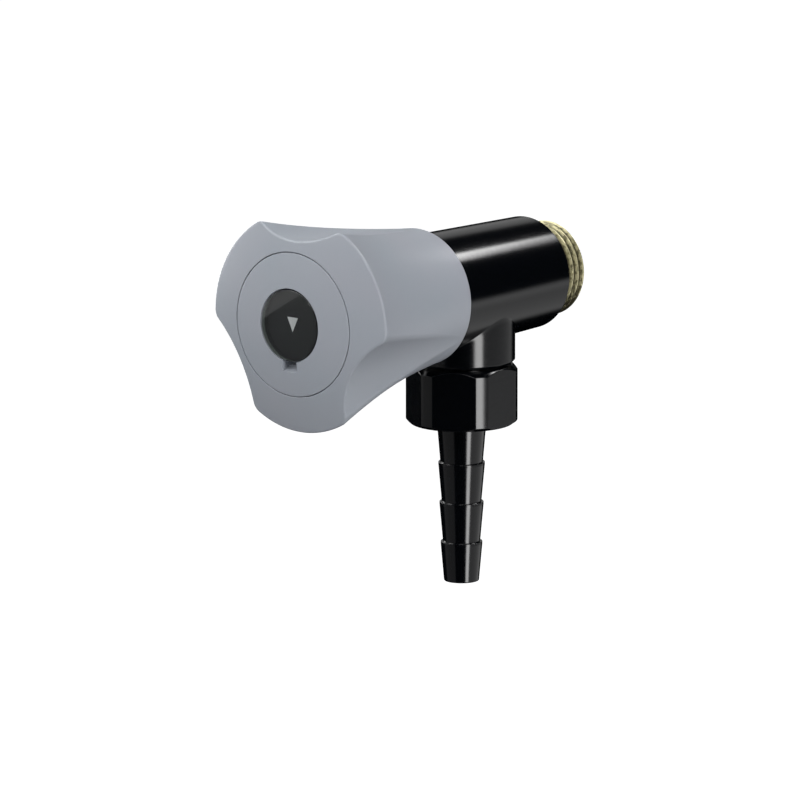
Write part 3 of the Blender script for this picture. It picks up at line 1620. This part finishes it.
@dataclass
class FixedBody:
    """Valve body, nipple and everything that is screwed to them."""

    dresser: Dresser

    def build(self) -> None:
        """Builds the pieces that show and dresses those inside."""
        coat, dress = BlackCoat(), self.dresser.dress
        dress(ValveBody().build().piece("valve_body_coated"), coat, Body.FIXED, "valve_body")
        nipple = InletNipple()
        piece = nipple.build().piece("inlet_nipple_threaded")
        nipple.mark_grooves(piece)
        dress(piece, CutThread(), Body.FIXED, "inlet_nipple")
        dress(UnionNut().build().piece("union_nut_turned", bevel=0.09), coat, Body.FIXED, "union_nut")
        dress(HoseNozzle().build().piece("hose_nozzle_turned"), coat, Body.FIXED, "hose_nozzle")
        for node in ("inlet_seal_ring", "bonnet_seal_ring"):
            self.dresser.dress_node(node, RUBBER)
        for node in ("thrust_washer", "outlet_gasket"):
            self.dresser.dress_node(node, SLIP_PLASTIC)
        self.dresser.dress_node("valve_seat", STEEL)
        self.dresser.dress_node("bonnet", BRASS)


@dataclass
class TurningSet:
    """Handwheel, cap, index and the spindle with its small parts."""

    dresser: Dresser

    def build(self) -> None:
        """Builds the pieces that show and dresses those inside."""
        dome, plastic, dress = Dome(), WheelPlastic(), self.dresser.dress
        dress(Handwheel(dome).build().piece("handwheel_moulded"), plastic, Body.TURNING, "handwheel")
        cap = FrontCap(dome).build().piece("front_cap_moulded", bevel=0.06)
        dress(cap, plastic, Body.TURNING, "front_cap")
        window = IndexWindow(dome).build().piece("index_window_clear")
        window.visible_shadow = False
        dress(window, ClearWindow(), Body.TURNING, "index_window")
        self.dresser.dress_node("index_disc", INDEX_BLACK)
        self.dresser.dress_node("index_mark", MARK_WHITE)
        self.dresser.dress_node("spindle_seal_rings", RUBBER)
        for node in ("spindle", "retaining_ring", "wheel_washer", "wheel_screw"):
            self.dresser.dress_node(node, STEEL)


@dataclass
class SlidingSet:
    """Plunger with its soft disc."""

    dresser: Dresser

    def build(self) -> None:
        """Dresses the plunger's pieces, all inside the body."""
        self.dresser.dress_node("plunger", BRASS)
        self.dresser.dress_node("seat_washer", RUBBER)
        for node in ("clamp_plate", "clamp_screw"):
            self.dresser.dress_node(node, STEEL)


# Studio

def direction(azimuth: float, elevation: float) -> Vector:
    """Direction at an azimuth from +X and an elevation, in degrees."""
    turn, rise = math.radians(azimuth), math.radians(elevation)
    return Vector((math.cos(turn) * math.cos(rise), math.sin(turn) * math.cos(rise), math.sin(rise)))


@dataclass(frozen=True)
class SoftBox:
    """Rectangular lamp that looks at the tap from an azimuth and elevation, some metres away."""

    name: str
    azimuth: float
    elevation: float
    distance: float
    size: tuple[float, float]
    radiance: float
    soft: float = 0.0
    spin: float = 0.0
    target: Triple = (0.0, -0.04, -0.01)

    def build(self) -> None:
        """Makes the lamp, whose power is radiance times pi times area.

        Its light fades smoothly over a share of its width and height at each edge, if it is soft.
        """
        data = bpy.data.lights.new(self.name, "AREA")
        data.shape = "RECTANGLE"
        data.size, data.size_y = self.size
        data.energy = self.radiance * math.pi * self.size[0] * self.size[1]
        if self.soft:
            data.use_nodes = True
            graph = Graph(data.node_tree)
            where = graph.node("ShaderNodeNewGeometry", output="Parametric")
            fades = (where.axis(name).between(self.soft, 1 - self.soft, self.soft) for name in "XY")
            light = graph.node("ShaderNodeEmission", {"Strength": math.prod(fades)})
            graph.node("ShaderNodeOutputLight", {"Surface": light})
        away = direction(self.azimuth, self.elevation)
        lamp = bpy.data.objects.new(self.name, data)
        lamp.location = Vector(self.target) + away * self.distance
        lamp.rotation_euler = (-away).to_track_quat("-Z", "Y").to_euler()
        lamp.rotation_euler.rotate_axis("Z", math.radians(self.spin))
        lamp.visible_camera = False
        lamp.visible_transmission = False
        bpy.context.scene.collection.objects.link(lamp)
        log.info("lamp %s", self.name)


@dataclass
class Studio:
    """Pale floor, surroundings and lamps."""

    floor_height: float = -0.4
    floor_half: float = 6.0
    floor_tone: float = 0.38
    floor_glow: float = 0.95
    ambient: float = 0.22
    horizon: Band = (-0.03, 0.02)
    white_azimuth: Band = (-0.25, 1.40, 0.22)
    white_top: Band = (-0.27, -0.13)
    white_fade: Band = (-0.4, -0.15)
    white_level: float = 0.56
    white_gain: float = 0.54
    dim_azimuth: Band = (-2.70, -1.62, 0.12)
    dim_level: float = 0.22
    patch_azimuth: Band = (2.05, 2.35, 0.2)
    patch_height: Band = (0.2, 0.42, 0.1)
    patch_level: float = 0.42
    lamps: tuple[SoftBox, ...] = (
        SoftBox("right_box", -13, -13, 1.0, (0.44, 1.1), 8.2, 0.3),
        SoftBox("right_upper_box", -18, 28, 1.1, (0.6, 0.6), 3.0, 0.2),
        SoftBox("overhead_strip", 0, 90, 0.45, (0.22, 0.4), 13.0, 0.22, 0, (0.145, 0.412, 0.0)),
        SoftBox("front_right_box", -50, 48, 1.4, (0.6, 0.6), 4.8, 0.2),
        SoftBox("front_box", -104, 60, 1.55, (1.0, 0.9), 3.2, 0.2),
        SoftBox("front_left_box", -134, 12.5, 1.3, (1.1, 0.8), 0.62, 0.0, 27),
        SoftBox("front_left_upper_box", -128, 34, 1.3, (0.8, 0.5), 6.0, 0.3),
        SoftBox("left_box", 180, 8, 1.3, (0.7, 0.7), 6.2, 0.2),
        SoftBox("left_rear_box", 150, 40, 1.2, (0.6, 0.6), 3.0, 0.2),
        SoftBox("left_upper_box", -148, 45, 1.2, (0.6, 0.6), 4.8, 0.2),
    )

    def floor(self) -> None:
        """Large pale floor, near white to the camera but for the shadow, and clear from below."""
        half = self.floor_half
        corners = [(-half, -half), (half, -half), (half, half), (-half, half)]
        mesh = bpy.data.meshes.new("floor")
        mesh.from_pydata([(x, y, self.floor_height) for x, y in corners], [], [(0, 1, 2, 3)])
        made = bpy.data.materials.new("pale_floor")
        made.use_nodes = True
        graph = Graph(made.node_tree)
        seen, _ = self.background_rays(graph)
        pale = graph.node("ShaderNodeBsdfDiffuse", {"Color": (*(self.floor_tone,) * 3, 1)})
        glow = seen * self.floor_glow
        glow = graph.node("ShaderNodeEmission", {"Color": (1, 1, 1, 1), "Strength": glow})
        above = graph.node("ShaderNodeAddShader", {0: pale, 1: glow})
        under = graph.node("ShaderNodeNewGeometry", output="Backfacing")
        surface = graph.mixed(under, above, graph.node("ShaderNodeBsdfTransparent"))
        graph.node("ShaderNodeOutputMaterial", {"Surface": surface})
        mesh.materials.append(made)
        floor = bpy.data.objects.new("floor", mesh)
        floor.visible_glossy = False
        bpy.context.scene.collection.objects.link(floor)

    @staticmethod
    def background_rays(graph: Graph) -> tuple[Wire, Wire]:
        """Tells the rays that look for the background from those that light what is under the window.

        Args:
            graph: the material's or the world's node tree.

        Returns:
            1 for rays from the camera, straight or through the window, and 1 for rays that come through
            the window from the index.
        """
        outputs = ("Is Camera Ray", "Is Transmission Ray", "Diffuse Depth", "Glossy Depth")
        rays = (graph.node("ShaderNodeLightPath", output=name) for name in outputs)
        camera, through, diffuse, glossy = rays
        scattered = through * (diffuse + glossy).rise(0.4, 0.6)
        return camera.larger(through - scattered), scattered

    def surroundings(self) -> None:
        """World: white behind the tap, soft grey light, and for gloss the pale floor and a dark room.

        Gloss sees a white floor to the right and behind, a dim one at the front left, and a dark room
        above the horizon, a little lighter at the back left. The index is lit by the lamps and the
        world as if the window let all light straight through, so its own rays find black.
        """
        world = bpy.data.worlds.new("surroundings")
        world.use_nodes = True
        bpy.context.scene.world = world
        graph = Graph(world.node_tree)
        where = graph.node("ShaderNodeTexCoord", output="Generated")
        x, y, z = (where.axis(name) for name in "XYZ")
        azimuth = y.arctan2(x)
        white = azimuth.between(*self.white_azimuth) * (1 - z.rise(*self.white_top))
        dim = (1 - z.rise(*self.horizon)) * azimuth.between(*self.dim_azimuth)
        patch = azimuth.between(*self.patch_azimuth) * z.between(*self.patch_height)
        gloss = (self.white_level + self.white_gain * z.rise(*self.white_fade)) * white
        gloss = gloss + self.dim_level * dim + self.patch_level * patch
        white_tone, soft_tone = (1, 1, 1, 1), (0.96, 0.98, 1, 1)
        levels = [(white_tone, gloss), (soft_tone, self.ambient), (white_tone, 1.0), (white_tone, 0.0)]
        room, soft, blank, black = (
            graph.node("ShaderNodeBackground", {"Color": tone, "Strength": level})
            for tone, level in levels
        )
        glossy = graph.node("ShaderNodeLightPath", output="Is Glossy Ray")
        seen, scattered = self.background_rays(graph)
        lit = graph.mixed(scattered, graph.mixed(glossy, soft, room), black)
        graph.node("ShaderNodeOutputWorld", {"Surface": graph.mixed(seen, lit, blank)})

    def build(self) -> None:
        """Makes the studio and sets how its light is shown."""
        self.floor()
        self.surroundings()
        for lamp in self.lamps:
            lamp.build()
        bpy.context.scene.view_settings.view_transform = "Standard"


@dataclass(frozen=True)
class PhotoCamera:
    """The photograph's camera, solved from the outlines of the turned parts."""

    azimuth: float = 39.557
    elevation: float = 11.205
    distance: float = 3.11819
    target: Triple = (-0.01102, -0.03, -0.025468)
    focal_pixels: float = 14255.273
    frame_pixels: int = 800
    sensor: float = 36.0
    near: float = 0.1
    far: float = 40.0

    def build(self) -> None:
        """Makes the camera and gives it to the scene."""
        back = direction(self.azimuth - 90, self.elevation)
        data = bpy.data.cameras.new("photo_camera")
        data.sensor_width = self.sensor
        data.lens = self.sensor * self.focal_pixels / self.frame_pixels
        data.clip_start, data.clip_end = self.near, self.far
        camera = bpy.data.objects.new("photo_camera", data)
        camera.location = Vector(self.target) + back * self.distance
        camera.rotation_mode = "QUATERNION"
        camera.rotation_quaternion = (-back).to_track_quat("-Z", "Y")
        bpy.context.scene.collection.objects.link(camera)
        bpy.context.scene.camera = camera


def main() -> None:
    """Builds the tap's looks, the studio and the camera."""
    logging.basicConfig(level=logging.INFO, format="%(name)s: %(message)s")
    dresser = Dresser()
    for assembly in (FixedBody(dresser), TurningSet(dresser), SlidingSet(dresser)):
        assembly.build()
    Studio().build()
    PhotoCamera().build()


if __name__ == "__main__":
    main()
